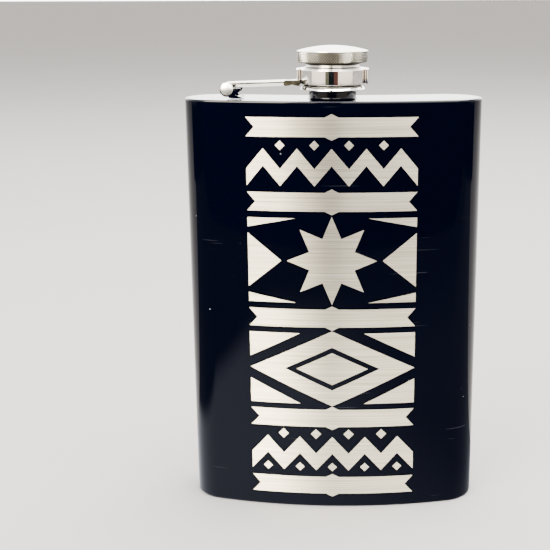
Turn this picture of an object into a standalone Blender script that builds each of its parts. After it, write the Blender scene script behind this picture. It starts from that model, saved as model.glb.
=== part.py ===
"""A steel hip flask with a captive screw cap, modelled piece by piece.

The flask stands on its base plate. The row frame has +Z up, X across the flask and -Y out of its convex front.
The origin is the centre of the flask's bounding box, on the plane that the base rests on.
All lengths are in metres.
"""

import math

import bmesh
import bpy
from mathutils import Vector

MM = 0.001

# Flask body: a sleeve of kidney section, closed by two inset plates
BODY_WIDTH = 95.0 * MM
BODY_DEPTH = 23.0 * MM
BODY_HEIGHT = 135.5 * MM
HIP_CURVE = 4.7 * MM  # how far the section's middle line bows towards the front
WALL = 0.6 * MM
RIM_CHAMFER = 0.3 * MM
PLATE = 0.8 * MM
PLATE_FLANGE = 4.0 * MM
GAP = 0.3 * MM  # between pieces that touch or are welded
SLIP = 0.1 * MM  # between the hinge pin and what turns on it

# Levels above the top plate, from the filler neck up to the cap's dome
SKIRT_FOOT = 2.8 * MM
COLLAR_FOOT = 4.6 * MM
NECK_RIM = 9.0 * MM
COLLAR_TOP = 9.25 * MM
HEAD_FOOT = 11.2 * MM
HEAD_EDGE = 14.8 * MM
DOME_TOP = 16.4 * MM

# Radii around the cap's axis
NECK_BORE = 6.0 * MM
NECK_BASE_RADIUS = 7.5 * MM
NECK_ROOT_RADIUS = 6.5 * MM
NECK_CREST_RADIUS = 7.05 * MM
SKIRT_CREST_RADIUS = 7.55 * MM
SKIRT_BORE = 8.05 * MM
SKIRT_RADIUS = 8.75 * MM
COLLAR_RADIUS = 10.15 * MM
BAND_RADIUS = 11.5 * MM
HEAD_RADIUS = 11.0 * MM
HEAD_WALL = 0.9 * MM
THREAD_PITCH = 1.9 * MM
THREAD_TURNS = 1.9

# Hinge of the cap's arm, level with the cap's axis in Y
HINGE_X = -33.0 * MM
HINGE_RISE = 3.15 * MM
PIN_RADIUS = 1.0 * MM
PIN_HEAD_RADIUS = 1.95 * MM
ARM_SHEET = 0.8 * MM
ARM_WIDTH = 6.0 * MM
ARM_DEPTH = 1.5 * MM  # of the strap with its side rails
ARM_SLOPE = math.radians(2.0)
EAR = 0.6 * MM
EAR_RADIUS = 2.1 * MM

# Worked out from the dimensions above
END_RADIUS = BODY_DEPTH / 2
END_X = BODY_WIDTH / 2 - END_RADIUS
BEND_RADIUS = (END_X**2 + HIP_CURVE**2) / (2 * HIP_CURVE)
BEND_ANGLE = math.asin(END_X / BEND_RADIUS)
AXIS_Y = -HIP_CURVE / 2  # of the section's middle line at X = 0, and of the cap
TOP = BODY_HEIGHT
HINGE = Vector((HINGE_X, AXIS_Y, TOP + HINGE_RISE))
CAP_AXIS = Vector((0, AXIS_Y, TOP))
ROUND_STEPS = 64


# ---------- shared helpers ----------


def clear_scene():
    for old in list(bpy.data.objects):
        bpy.data.objects.remove(old)


def material(name, colour, roughness, metallic):
    made = bpy.data.materials.new(name)
    made.use_nodes = True
    shader = made.node_tree.nodes["Principled BSDF"]
    shader.inputs["Base Color"].default_value = (*colour, 1)
    shader.inputs["Roughness"].default_value = roughness
    shader.inputs["Metallic"].default_value = metallic
    return made


def add_object(name, bm, finish):
    """Turns a bmesh into a smooth-shaded object whose faces point out."""
    bmesh.ops.recalc_face_normals(bm, faces=bm.faces)
    mesh = bpy.data.meshes.new(name)
    bm.to_mesh(mesh)
    bm.free()
    mesh.shade_smooth()
    mesh.set_sharp_from_angle(angle=math.radians(30))
    mesh.materials.append(finish)
    made = bpy.data.objects.new(name, mesh)
    bpy.context.scene.collection.objects.link(made)
    return made


def combine(target, tool, operation="UNION"):
    """Joins a second solid to the target, or cuts it away, and removes the second object."""
    modifier = target.modifiers.new(operation.title(), "BOOLEAN")
    modifier.object = tool
    modifier.operation = operation
    modifier.solver = "EXACT"
    bpy.context.view_layer.update()
    evaluated = target.evaluated_get(bpy.context.evaluated_depsgraph_get())
    joined = bpy.data.meshes.new_from_object(evaluated)
    target.modifiers.clear()
    target.data = joined
    bpy.data.objects.remove(tool)
    return target


def arc(centre, radius, start, end, steps):
    """Points on an arc, with both ends."""
    turns = [start + (end - start) * i / steps for i in range(steps + 1)]
    return [(centre[0] + radius * math.cos(a), centre[1] + radius * math.sin(a)) for a in turns]


def loft(name, loops, finish):
    """A closed solid whose skin runs from loop to loop and back to the first one."""
    bm = bmesh.new()
    rings = [[bm.verts.new(point) for point in loop] for loop in loops]
    for ring, following in zip(rings, rings[1:] + rings[:1]):
        for i in range(len(ring)):
            j = (i + 1) % len(ring)
            bm.faces.new((ring[i], ring[j], following[j], following[i]))
    return add_object(name, bm, finish)


def extruded(name, outline, depth_from, depth_to, finish):
    """An X-Z outline extruded along Y, relative to the hinge axis."""
    bm = bmesh.new()
    face = bm.faces.new([bm.verts.new((x, depth_from, z)) for x, z in outline])
    grown = bmesh.ops.extrude_face_region(bm, geom=[face])
    moved = [item for item in grown["geom"] if isinstance(item, bmesh.types.BMVert)]
    bmesh.ops.translate(bm, verts=moved, vec=(0, depth_to - depth_from, 0))
    made = add_object(name, bm, finish)
    made.location = HINGE
    return made


def upright(name, outline, low, high, finish):
    """An X-Y outline around the cap's axis, extruded up between two levels above the top plate."""
    bm = bmesh.new()
    face = bm.faces.new([bm.verts.new((x, y, low)) for x, y in outline])
    grown = bmesh.ops.extrude_face_region(bm, geom=[face])
    moved = [item for item in grown["geom"] if isinstance(item, bmesh.types.BMVert)]
    bmesh.ops.translate(bm, verts=moved, vec=(0, 0, high - low))
    made = add_object(name, bm, finish)
    made.location = CAP_AXIS
    return made


def turned(name, profile, finish, closed=True, steps=ROUND_STEPS):
    """A solid of revolution about the cap's axis. Its profile lists radius and level above the top plate.

    A ring's profile is closed on itself. Any other profile starts and ends on the axis."""
    bm = bmesh.new()
    points = [bm.verts.new((radius, 0, level)) for radius, level in profile]
    pairs = list(zip(points, points[1:]))
    if closed:
        pairs.append((points[-1], points[0]))
    edges = [bm.edges.new(pair) for pair in pairs]
    bmesh.ops.spin(
        bm, geom=points + edges, cent=(0, 0, 0), axis=(0, 0, 1), dvec=(0, 0, 0), angle=math.tau, steps=steps
    )
    bmesh.ops.remove_doubles(bm, verts=bm.verts, dist=0.001 * MM)
    made = add_object(name, bm, finish)
    made.location = CAP_AXIS
    return made


def pivot(name, place, parent=None):
    """An empty on a joint's axis, for the pieces that move with it."""
    made = bpy.data.objects.new(name, None)
    bpy.context.scene.collection.objects.link(made)
    made.location = place
    if parent:
        made.parent = parent
        made.location = place - parent.location
    return made


def carry(piece, empty, place):
    """Parents a piece to a joint's empty and leaves it where it is."""
    piece.parent = empty
    piece.location = piece.location - place


# ---------- flask body ----------


def kidney(inset):
    """The flask's plan outline, anticlockwise from the front's left end and moved in by the inset."""
    bend = (0, AXIS_Y + BEND_RADIUS)
    end_y = AXIS_Y + HIP_CURVE
    quarter = math.pi / 2
    front = arc(bend, BEND_RADIUS + END_RADIUS - inset, -quarter - BEND_ANGLE, -quarter + BEND_ANGLE, 24)
    right = arc((END_X, end_y), END_RADIUS - inset, -quarter + BEND_ANGLE, quarter + BEND_ANGLE, 16)
    rear = arc(bend, BEND_RADIUS - END_RADIUS + inset, -quarter + BEND_ANGLE, -quarter - BEND_ANGLE, 24)
    left = arc((-END_X, end_y), END_RADIUS - inset, quarter - BEND_ANGLE, 3 * quarter - BEND_ANGLE, 16)
    return front[:-1] + right[:-1] + rear[:-1] + left[:-1]


def at_level(outline, level):
    return [(x, y, level) for x, y in outline]


def hole_loop(radius, level):
    """A circle around the cap's axis whose points lie in the same directions as the kidney outline's."""
    directions = [math.atan2(y - AXIS_Y, x) for x, y in kidney(0)]
    return [(radius * math.cos(a), AXIS_Y + radius * math.sin(a), level) for a in directions]


def make_body_sleeve(finish):
    loops = [
        at_level(kidney(RIM_CHAMFER), 0),
        at_level(kidney(0), RIM_CHAMFER),
        at_level(kidney(0), TOP - RIM_CHAMFER),
        at_level(kidney(RIM_CHAMFER), TOP),
        at_level(kidney(WALL), TOP),
        at_level(kidney(WALL), 0),
    ]
    return loft("body_sleeve", loops, finish)


def make_top_plate(finish):
    outer = WALL + GAP
    hole = NECK_BASE_RADIUS + GAP
    loops = [
        hole_loop(hole, TOP),
        at_level(kidney(outer), TOP),
        at_level(kidney(outer), TOP - PLATE_FLANGE),
        at_level(kidney(outer + PLATE), TOP - PLATE_FLANGE),
        at_level(kidney(outer + PLATE), TOP - PLATE),
        hole_loop(hole, TOP - PLATE),
    ]
    return loft("top_plate", loops, finish)


def make_base_plate(finish):
    """A shallow tray, flange up, whose underside is level with the sleeve's lower rim."""
    outer = WALL + GAP
    levels = [(outer, 0), (outer, PLATE_FLANGE), (outer + PLATE, PLATE_FLANGE), (outer + PLATE, PLATE)]
    bm = bmesh.new()
    rings = [[bm.verts.new(point) for point in at_level(kidney(inset), level)] for inset, level in levels]
    for ring, following in zip(rings, rings[1:]):
        for i in range(len(ring)):
            j = (i + 1) % len(ring)
            bm.faces.new((ring[i], ring[j], following[j], following[i]))
    bm.faces.new(rings[0])
    bm.faces.new(rings[-1])
    return add_object("base_plate", bm, finish)


def thread_ridge(root, crest, first_level):
    """A helical ridge between a root and a crest radius that fades out at both ends."""
    steps = round(THREAD_TURNS * 32)
    fade_steps = 5
    half_foot = 0.32 * THREAD_PITCH
    half_crest = 0.1 * THREAD_PITCH
    buried = root + math.copysign(0.2 * MM, root - crest)
    bm = bmesh.new()
    sections = []
    for step in range(steps + 1):
        share = min(1, (step + 0.5) / fade_steps, (steps - step + 0.5) / fade_steps)
        tip = root + (crest - root) * share
        angle = math.tau * THREAD_TURNS * step / steps
        middle = first_level + THREAD_PITCH * THREAD_TURNS * step / steps
        corners = [
            (buried, middle - half_foot),
            (root, middle - half_foot),
            (tip, middle - half_crest),
            (tip, middle + half_crest),
            (root, middle + half_foot),
            (buried, middle + half_foot),
        ]
        sections.append([bm.verts.new((r * math.cos(angle), r * math.sin(angle), z)) for r, z in corners])
    for section, following in zip(sections, sections[1:]):
        for i in range(len(section)):
            j = (i + 1) % len(section)
            bm.faces.new((section[i], section[j], following[j], following[i]))
    bm.faces.new(sections[0])
    bm.faces.new(sections[-1])
    ridge = add_object("thread_ridge", bm, None)
    ridge.location = CAP_AXIS
    return ridge


def make_filler_neck(finish):
    """The spout: a flange under the top plate, a wide base above it and a threaded tube."""
    flange_top = -PLATE - GAP
    base_top = SKIRT_FOOT - GAP
    profile = [
        (NECK_BORE, flange_top - PLATE),
        (NECK_BASE_RADIUS + 1.5 * MM, flange_top - PLATE),
        (NECK_BASE_RADIUS + 1.5 * MM, flange_top),
        (NECK_BASE_RADIUS, flange_top),
        (NECK_BASE_RADIUS, base_top - 0.2 * MM),
        (NECK_BASE_RADIUS - 0.2 * MM, base_top),
        (NECK_ROOT_RADIUS, base_top),
        (NECK_ROOT_RADIUS, NECK_RIM - 0.2 * MM),
        (NECK_ROOT_RADIUS - 0.2 * MM, NECK_RIM),
        (NECK_BORE, NECK_RIM),
    ]
    neck = turned("filler_neck", profile, finish)
    return combine(neck, thread_ridge(NECK_ROOT_RADIUS, NECK_CREST_RADIUS, base_top + 0.9 * MM))


# ---------- hinge ----------


def make_hinge_bracket(finish):
    """A folded saddle on the top plate: two ears that carry the pin, each with a stop lug on the arm's side."""
    foot = -HINGE_RISE + GAP
    floor = foot + EAR
    ear_outline = [
        *arc((-0.1 * MM, -0.35 * MM), EAR_RADIUS, math.radians(-5), math.radians(285), 24),
        (0.4 * MM, foot),
        (4.6 * MM, foot),
        (4.4 * MM, foot + 0.5 * MM),
        (2.9 * MM, foot + 0.8 * MM),
        (2.5 * MM, foot + 1.2 * MM),
        (3.6 * MM, foot + 1.7 * MM),
        (4.3 * MM, foot + 2.9 * MM),
        (3.5 * MM, foot + 3.0 * MM),
        (2.6 * MM, foot + 2.5 * MM),
    ]
    inner = ARM_WIDTH / 2 + GAP
    front = extruded("hinge_bracket", ear_outline, -inner - EAR, -inner, finish)
    rear = extruded("rear_ear", ear_outline, inner, inner + EAR, finish)
    floor_outline = [(0.4 * MM, foot), (4.6 * MM, foot), (4.6 * MM, floor), (0.4 * MM, floor)]
    web = extruded("web", floor_outline, -inner - EAR / 2, inner + EAR / 2, finish)
    bore = extruded(
        "bore", arc((0, 0), PIN_RADIUS + SLIP, 0, math.tau * 31 / 32, 31), -2 * ARM_WIDTH, 2 * ARM_WIDTH, finish
    )
    saddle = combine(combine(front, web), rear)
    return combine(saddle, bore, "DIFFERENCE")


def make_hinge_pin(finish):
    """A rivet through the ears: a domed head at the front and a flatter, peened one at the rear."""
    ear_face = ARM_WIDTH / 2 + GAP + EAR + GAP
    dome = 0.7 * MM
    peened = 0.45 * MM
    front_head = [
        (PIN_HEAD_RADIUS * math.cos(a), ear_face + dome * math.sin(a))
        for a in (math.radians(15 * i) for i in range(6))
    ]
    rear_head = [(1.2 * MM, -ear_face - peened), (1.5 * MM, -ear_face - peened / 2), (1.5 * MM, -ear_face)]
    profile = [
        (0, -ear_face - peened),
        *rear_head,
        (PIN_RADIUS, -ear_face),
        (PIN_RADIUS, ear_face),
        *front_head,
        (0, ear_face + dome),
    ]
    pin = turned("hinge_pin", profile, finish, closed=False, steps=32)
    pin.location = HINGE
    pin.rotation_euler = (math.radians(90), 0, 0)
    return pin


def curl_outline():
    """The arm's sheet edge on: an open eye around the pin, then a straight that leaves its top towards the cap."""
    inner = PIN_RADIUS + SLIP
    outer = inner + ARM_SHEET
    curl_start = math.radians(90) + ARM_SLOPE
    curl_end = math.radians(372)
    reach = -HINGE_X - BAND_RADIUS + 0.5 * MM
    along = Vector((math.cos(ARM_SLOPE), math.sin(ARM_SLOPE)))
    up = Vector((-along.y, along.x))
    tip_low = along * reach + up * inner
    tip_high = along * reach + up * outer
    outer_curl = arc((0, 0), outer, curl_start, curl_end, 32)
    inner_curl = arc((0, 0), inner, curl_end, curl_start, 32)
    return [tuple(tip_high), *outer_curl, *inner_curl, tuple(tip_low)]


def make_cap_arm(finish):
    """The captive cap's arm: an eye on the pin, a strap with side rails, two root cheeks and a rear band."""
    arm = extruded("cap_arm", curl_outline(), -ARM_WIDTH / 2, ARM_WIDTH / 2, finish)
    root_x = -math.sqrt(BAND_RADIUS**2 - (ARM_WIDTH / 2 + 1.4 * MM) ** 2) - HINGE_X
    root_z = root_x * math.tan(ARM_SLOPE) + PIN_RADIUS + SLIP
    foot = COLLAR_FOOT - HINGE_RISE - 0.5 * MM
    cheek_outline = [
        (root_x + 0.5 * MM, root_z + ARM_SHEET),
        (root_x - 4.0 * MM, root_z + ARM_SHEET - 0.05 * MM),
        (root_x - 4.6 * MM, root_z + 0.35 * MM),
        *arc((root_x - 3.95 * MM, foot + 0.65 * MM), 0.65 * MM, math.radians(180), math.radians(300), 6),
        *arc((root_x - 2.0 * MM, foot - 2.1 * MM), 2.45 * MM, math.radians(115), math.radians(65), 6),
        (root_x + 0.5 * MM, foot),
    ]
    rail_x = PIN_RADIUS + SLIP + ARM_SHEET + 0.7 * MM
    rail_z = rail_x * math.tan(ARM_SLOPE) + PIN_RADIUS + SLIP + 0.4 * MM
    rail_drop = ARM_DEPTH - ARM_SHEET / 2
    rise = (root_x - rail_x) * math.tan(ARM_SLOPE)
    rail_outline = [
        (rail_x, rail_z),
        (rail_x + 0.5 * MM, rail_z - rail_drop),
        (root_x, rail_z + rise - rail_drop),
        (root_x, rail_z + rise),
    ]
    for side in (-1, 1):
        inner = side * (ARM_WIDTH / 2 - ARM_SHEET)
        rail = extruded("rail", rail_outline, inner, side * ARM_WIDTH / 2, finish)
        combine(arm, rail)
        edge = side * (ARM_WIDTH / 2 + 0.9 * MM)
        cheek = extruded("cheek", cheek_outline, edge, edge - side * 1.3 * MM, finish)
        combine(arm, cheek)

    band_bore = COLLAR_RADIUS + GAP
    left_end = math.radians(203)
    right_end = math.radians(-12)
    band_outline = [
        *arc((0, 0), BAND_RADIUS, right_end, left_end, 40),
        *arc((0, 0), band_bore, left_end, right_end, 40),
    ]
    return combine(arm, upright("band", band_outline, COLLAR_FOOT, COLLAR_TOP, finish))


# ---------- cap ----------


def make_swivel_collar(finish):
    """The polished drum that the cap turns in. The arm's band is welded round its rear."""
    edge = 0.2 * MM
    bore = SKIRT_RADIUS + GAP
    profile = [
        (bore, COLLAR_FOOT + edge),
        (bore + edge, COLLAR_FOOT),
        (COLLAR_RADIUS - edge, COLLAR_FOOT),
        (COLLAR_RADIUS, COLLAR_FOOT + edge),
        (COLLAR_RADIUS, COLLAR_TOP - edge),
        (COLLAR_RADIUS - edge, COLLAR_TOP),
        (bore, COLLAR_TOP),
    ]
    return turned("swivel_collar", profile, finish)


def make_cap_skirt(finish):
    """The threaded sleeve: a trumpet lip that holds the collar, a waist, and a flange inside the head."""
    roof = NECK_RIM + 1.8 * MM
    flange_radius = HEAD_RADIUS - HEAD_WALL - GAP
    waist = SKIRT_RADIUS - 0.4 * MM
    lip = [
        (SKIRT_CREST_RADIUS + 0.2 * MM, SKIRT_FOOT),
        (COLLAR_RADIUS - 0.2 * MM, SKIRT_FOOT + 0.1 * MM),
        (COLLAR_RADIUS, SKIRT_FOOT + 0.3 * MM),
        (COLLAR_RADIUS - 0.1 * MM, SKIRT_FOOT + 0.5 * MM),
        (COLLAR_RADIUS - 0.7 * MM, SKIRT_FOOT + 0.8 * MM),
        (SKIRT_RADIUS + 0.2 * MM, SKIRT_FOOT + 1.3 * MM),
        (SKIRT_RADIUS, SKIRT_FOOT + 2.0 * MM),
    ]
    profile = [
        *lip,
        (SKIRT_RADIUS, COLLAR_TOP + 0.4 * MM),
        (waist, COLLAR_TOP + 0.7 * MM),
        (waist, COLLAR_TOP + 1.2 * MM),
        (SKIRT_RADIUS, COLLAR_TOP + 1.5 * MM),
        (SKIRT_RADIUS, HEAD_FOOT + GAP),
        (flange_radius, HEAD_FOOT + GAP),
        (flange_radius, roof + 1.4 * MM),
        (0, roof + 1.4 * MM),
    ]
    inside = [
        (0, roof),
        (SKIRT_BORE, roof),
        (SKIRT_BORE, SKIRT_FOOT + 0.8 * MM),
    ]
    skirt = turned("cap_skirt", inside + profile, finish, closed=False)
    return combine(skirt, thread_ridge(SKIRT_BORE, SKIRT_CREST_RADIUS, SKIRT_FOOT + 2.0 * MM))


def make_seal_disc(finish):
    """The soft disc in the cap's roof that closes the filler neck."""
    radius = SKIRT_CREST_RADIUS
    low = NECK_RIM + GAP
    high = low + 1.2 * MM
    profile = [(0, low), (radius, low), (radius, high), (0, high)]
    return turned("seal_disc", profile, finish, closed=False)


def make_cap_head(finish):
    """The grip: a knurled rim under a shallow dome, pressed over the skirt's flange."""
    rise = DOME_TOP - HEAD_EDGE
    dome_radius = (HEAD_RADIUS**2 + rise**2) / (2 * rise)
    half_angle = math.asin(HEAD_RADIUS / dome_radius)
    centre = DOME_TOP - dome_radius
    inner_radius = HEAD_RADIUS - HEAD_WALL
    inner_angle = math.asin(inner_radius / (dome_radius - HEAD_WALL))
    outside = [
        (dome_radius * math.sin(half_angle * (1 - i / 8)), centre + dome_radius * math.cos(half_angle * (1 - i / 8)))
        for i in range(9)
    ]
    shallow = dome_radius - HEAD_WALL
    inside = [
        (shallow * math.sin(inner_angle * i / 6), centre + shallow * math.cos(inner_angle * i / 6))
        for i in range(7)
    ]
    edge = 0.25 * MM
    rim = [
        (inner_radius, HEAD_FOOT),
        (HEAD_RADIUS - edge, HEAD_FOOT),
        (HEAD_RADIUS, HEAD_FOOT + edge),
    ]
    return turned("cap_head", inside + rim + outside, finish, closed=False)


# ---------- assembly ----------


def build():
    clear_scene()
    coat = material("gloss_coat", (0.006, 0.007, 0.016), 0.08, 0.0)
    polished = material("polished_steel", (0.78, 0.76, 0.73), 0.08, 1.0)
    seal = material("seal_rubber", (0.75, 0.75, 0.72), 0.6, 0.0)

    make_body_sleeve(coat)
    make_top_plate(coat)
    make_base_plate(coat)
    make_filler_neck(coat)
    make_hinge_bracket(coat)
    make_hinge_pin(polished)

    arm_hinge = pivot("arm_hinge", HINGE)
    for piece in (make_cap_arm(polished), make_swivel_collar(polished)):
        carry(piece, arm_hinge, HINGE)

    cap_axis = pivot("cap_axis", CAP_AXIS, arm_hinge)
    for piece in (make_cap_skirt(polished), make_cap_head(polished), make_seal_disc(seal)):
        carry(piece, cap_axis, CAP_AXIS)


build()
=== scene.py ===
import math

import bmesh
import bpy
from mathutils import Matrix, Vector


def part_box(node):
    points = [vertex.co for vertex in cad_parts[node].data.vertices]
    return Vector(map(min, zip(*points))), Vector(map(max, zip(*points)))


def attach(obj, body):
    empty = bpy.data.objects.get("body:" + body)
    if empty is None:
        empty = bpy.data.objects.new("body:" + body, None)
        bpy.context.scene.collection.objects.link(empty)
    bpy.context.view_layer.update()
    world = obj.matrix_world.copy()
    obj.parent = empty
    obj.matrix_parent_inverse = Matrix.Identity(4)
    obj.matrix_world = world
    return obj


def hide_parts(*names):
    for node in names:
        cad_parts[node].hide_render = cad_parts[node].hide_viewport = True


MM = 0.001

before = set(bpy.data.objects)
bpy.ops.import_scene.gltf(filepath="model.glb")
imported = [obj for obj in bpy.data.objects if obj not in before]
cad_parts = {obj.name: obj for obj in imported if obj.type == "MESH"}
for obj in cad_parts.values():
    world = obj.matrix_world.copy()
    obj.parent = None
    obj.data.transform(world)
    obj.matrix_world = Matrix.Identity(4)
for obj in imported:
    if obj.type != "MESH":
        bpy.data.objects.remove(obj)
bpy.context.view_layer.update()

# ---------- dimensions shared with the CAD, in metres ----------

END_RADIUS = 11.5 * MM
END_X = 36.0 * MM
HIP_CURVE = 4.7 * MM
BEND_RADIUS = (END_X**2 + HIP_CURVE**2) / (2 * HIP_CURVE)
BEND_ANGLE = math.asin(END_X / BEND_RADIUS)
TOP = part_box("body_sleeve")[1].z
AXIS_Y = -HIP_CURVE / 2
CAP_AXIS = Vector((0, AXIS_Y, TOP))
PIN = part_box("hinge_pin")
HINGE = Vector(((PIN[0].x + PIN[1].x) / 2, AXIS_Y, (PIN[0].z + PIN[1].z) / 2))
FRONT_RADIUS = BEND_RADIUS + END_RADIUS
BEND_Y = AXIS_Y + BEND_RADIUS

WALL = 0.6 * MM
RIM_WALL = 0.88 * MM  # the sleeve's wall where a plate is welded into it
PLATE = 0.8 * MM
PLATE_FLANGE = 4.0 * MM
PLATE_EDGE = RIM_WALL + 0.03 * MM  # how far a plate's edge lies in from the flask's outside

SKIRT_FOOT = 2.8 * MM
COLLAR_FOOT = 4.6 * MM
NECK_RIM = 9.0 * MM
COLLAR_TOP = 9.25 * MM
HEAD_FOOT = 11.2 * MM
HEAD_EDGE = 14.8 * MM
DOME_TOP = 16.4 * MM

NECK_BORE = 6.0 * MM
NECK_BASE_RADIUS = 7.5 * MM
NECK_ROOT_RADIUS = 6.5 * MM
NECK_CREST_RADIUS = 7.05 * MM
SKIRT_CREST_RADIUS = 7.55 * MM
SKIRT_BORE = 8.05 * MM
SKIRT_RADIUS = 8.75 * MM
COLLAR_RADIUS = 10.15 * MM
COLLAR_BORE = 9.05 * MM
BAND_BORE = 10.2 * MM
BAND_RADIUS = 11.5 * MM
HEAD_RADIUS = 11.15 * MM
HEAD_BORE = 10.1 * MM
THREAD_PITCH = 1.9 * MM
THREAD_TURNS = 1.9

ARM_SHEET = 0.8 * MM
ARM_HALF_WIDTH = 3.0 * MM
ARM_SLOPE = math.radians(2.0)
EYE_BORE = 1.1 * MM
EYE_RADIUS = EYE_BORE + ARM_SHEET
CREASE = 0.16 * MM  # depth of the rolled line along each edge of the strap
EAR_INNER = 3.3 * MM
EAR_OUTER = 3.9 * MM

KNURLS = 84
KNURL_DEPTH = 0.34 * MM
KNURL_PITCH = math.tau * HEAD_RADIUS / KNURLS
KNURL_HEIGHT = 1.15 * KNURL_PITCH
KNURL_STEPS = 6  # points round and up each diamond

# ---------- mesh resolution ----------

SMOOTH_ANGLE = 35  # degrees: a sharper edge is shaded as an edge
SIDE_STEPS = 96  # along the flask's front, and its rear
END_STEPS = 64  # round each of the flask's ends
QUARTER_TURN = [math.pi / 2 * i / 8 for i in range(9)]
THREAD_STEP = 0.11 * MM  # between levels on a threaded wall

# ---------- ornament, in millimetres ----------

ORNAMENT_HALF_WIDTH = 27
ORNAMENT_PROUD = 0.03
ORNAMENT_SUNK = 0.12

# ---------- studio, in metres ----------

WORLD_LOW = 11.0  # strength at the horizon
WORLD_HIGH = 3.0  # strength from WORLD_FADE upwards
WORLD_FADE = 0.2
FLOOR_REACH = 500.0

FLAG_Y = -0.385  # the cards in front stand here, just behind the camera
FLAG_TOP = 0.107
FLAG_WIDE = 1.6
FLAG_GLOW = 0.28
STRIP_TOP = 0.145
STRIPE_TOP = 0.172
STRIPE_LEFT = -0.172
STRIPE_RIGHT = 0.150
WING_X = 0.7
WING_REAR = 0.12
WING_TOP = 0.075
FLOOR_FLAG_REAR = 0.04
FLOOR_FLAG_LIFT = 0.3 * MM
BOUNCE_Y = -0.95
REAR_Y = 1.8

CAMERA_LENS = 69.4473  # millimetres, on a 36 mm sensor
CAMERA_SHIFT = -0.1
CAMERA_PLACE = Vector((9.9 * MM, AXIS_Y - 338.5 * MM, 165.6 * MM))
CAMERA_TURN = math.radians(1.84)
CAMERA_TILT = math.radians(14.54)
CAMERA_ROLL = math.radians(-0.16)


# ---------- mesh helpers ----------


def shade(mesh, smooth_angle=SMOOTH_ANGLE):
    mesh.shade_smooth()
    mesh.set_sharp_from_angle(angle=math.radians(smooth_angle))


def finish_mesh(name, bm, smooth_angle=SMOOTH_ANGLE):
    """A linked object whose faces point out, smooth apart from edges sharper than the angle."""
    bmesh.ops.remove_doubles(bm, verts=bm.verts, dist=0.0005 * MM)
    bmesh.ops.dissolve_degenerate(bm, edges=bm.edges, dist=0.0002 * MM)
    bmesh.ops.recalc_face_normals(bm, faces=bm.faces)
    mesh = bpy.data.meshes.new(name)
    bm.to_mesh(mesh)
    bm.free()
    shade(mesh, smooth_angle)
    made = bpy.data.objects.new(name, mesh)
    bpy.context.scene.collection.objects.link(made)
    return made


def bridge(bm, rings, around):
    """Quads between neighbouring rings of the same length, and from last to first if it goes around."""
    pairs = list(zip(rings, rings[1:]))
    if around:
        pairs.append((rings[-1], rings[0]))
    for ring, following in pairs:
        for i in range(len(ring)):
            j = (i + 1) % len(ring)
            bm.faces.new((ring[i], ring[j], following[j], following[i]))


def loft(name, loops, capped=False):
    """Loops of the same length joined in turn: round to the first again, or with a cap at each end."""
    bm = bmesh.new()
    rings = [[bm.verts.new(point) for point in loop] for loop in loops]
    bridge(bm, rings, around=not capped)
    if capped:
        bm.faces.new(rings[0])
        bm.faces.new(rings[-1])
    return finish_mesh(name, bm)


def arc(centre, radius, start, end, steps):
    turns = [start + (end - start) * i / steps for i in range(steps + 1)]
    return [(centre[0] + radius * math.cos(a), centre[1] + radius * math.sin(a)) for a in turns]


def rounded(profile, radii, steps=5):
    """The same closed profile with each corner rounded by its own radius."""
    made = []
    for i, (corner, radius) in enumerate(zip(profile, radii)):
        here = Vector(corner)
        before = Vector(profile[i - 1]) - here
        after = Vector(profile[(i + 1) % len(profile)]) - here
        reach = radius / math.tan(before.angle(after) / 2)
        first = here + before.normalized() * reach
        last = here + after.normalized() * reach
        for step in range(steps + 1):
            t = step / steps
            made.append(tuple(first * (1 - t) ** 2 + here * 2 * t * (1 - t) + last * t**2))
    return made


def subdivided(profile, first, last, step):
    """The profile with the straight from point first to point last cut into short lengths."""
    a = Vector(profile[first])
    b = Vector(profile[last])
    count = max(1, round((b - a).length / step))
    extra = [tuple(a.lerp(b, i / count)) for i in range(1, count)]
    return profile[: first + 1] + extra + profile[last:]


def turned(name, profile, steps, place=CAP_AXIS, shape=None, turn=None, smooth_angle=SMOOTH_ANGLE):
    """A solid of revolution from radius and level. A profile that starts on the axis also ends on it.

    shape(angle, radius, level) gives a point's own radius, for a knurl or a thread."""
    bm = bmesh.new()
    on_axis = profile[0][0] == 0
    rings = []
    for radius, level in profile:
        if radius == 0:
            rings.append([bm.verts.new((0, 0, level))])
            continue
        ring = []
        for step in range(steps):
            angle = math.tau * step / steps
            r = shape(angle, radius, level) if shape else radius
            ring.append(bm.verts.new((r * math.cos(angle), r * math.sin(angle), level)))
        rings.append(ring)
    body = [ring for ring in rings if len(ring) > 1]
    bridge(bm, body, around=not on_axis)
    if on_axis:
        for pole, ring in ((rings[0][0], body[0]), (rings[-1][0], body[-1])):
            for i in range(steps):
                bm.faces.new((pole, ring[i], ring[(i + 1) % steps]))
    if turn:
        bmesh.ops.transform(bm, matrix=turn, verts=bm.verts)
    bmesh.ops.translate(bm, verts=bm.verts, vec=place)
    return finish_mesh(name, bm, smooth_angle)


def plate_from(name, outline, depth_from, depth_to, place, bevel=0, upright=False):
    """An outline in X-Z given a thickness along Y, or in X-Y given one along Z, with softened edges."""
    bm = bmesh.new()
    if upright:
        face = bm.faces.new([bm.verts.new((x, y, depth_from)) for x, y in outline])
        vec = (0, 0, depth_to - depth_from)
    else:
        face = bm.faces.new([bm.verts.new((x, depth_from, z)) for x, z in outline])
        vec = (0, depth_to - depth_from, 0)
    grown = bmesh.ops.extrude_face_region(bm, geom=[face])["geom"]
    bmesh.ops.translate(bm, verts=[item for item in grown if isinstance(item, bmesh.types.BMVert)], vec=vec)
    bmesh.ops.translate(bm, verts=bm.verts, vec=place)
    made = finish_mesh(name, bm)
    if bevel:
        soften(made, bevel)
    return made


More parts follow.
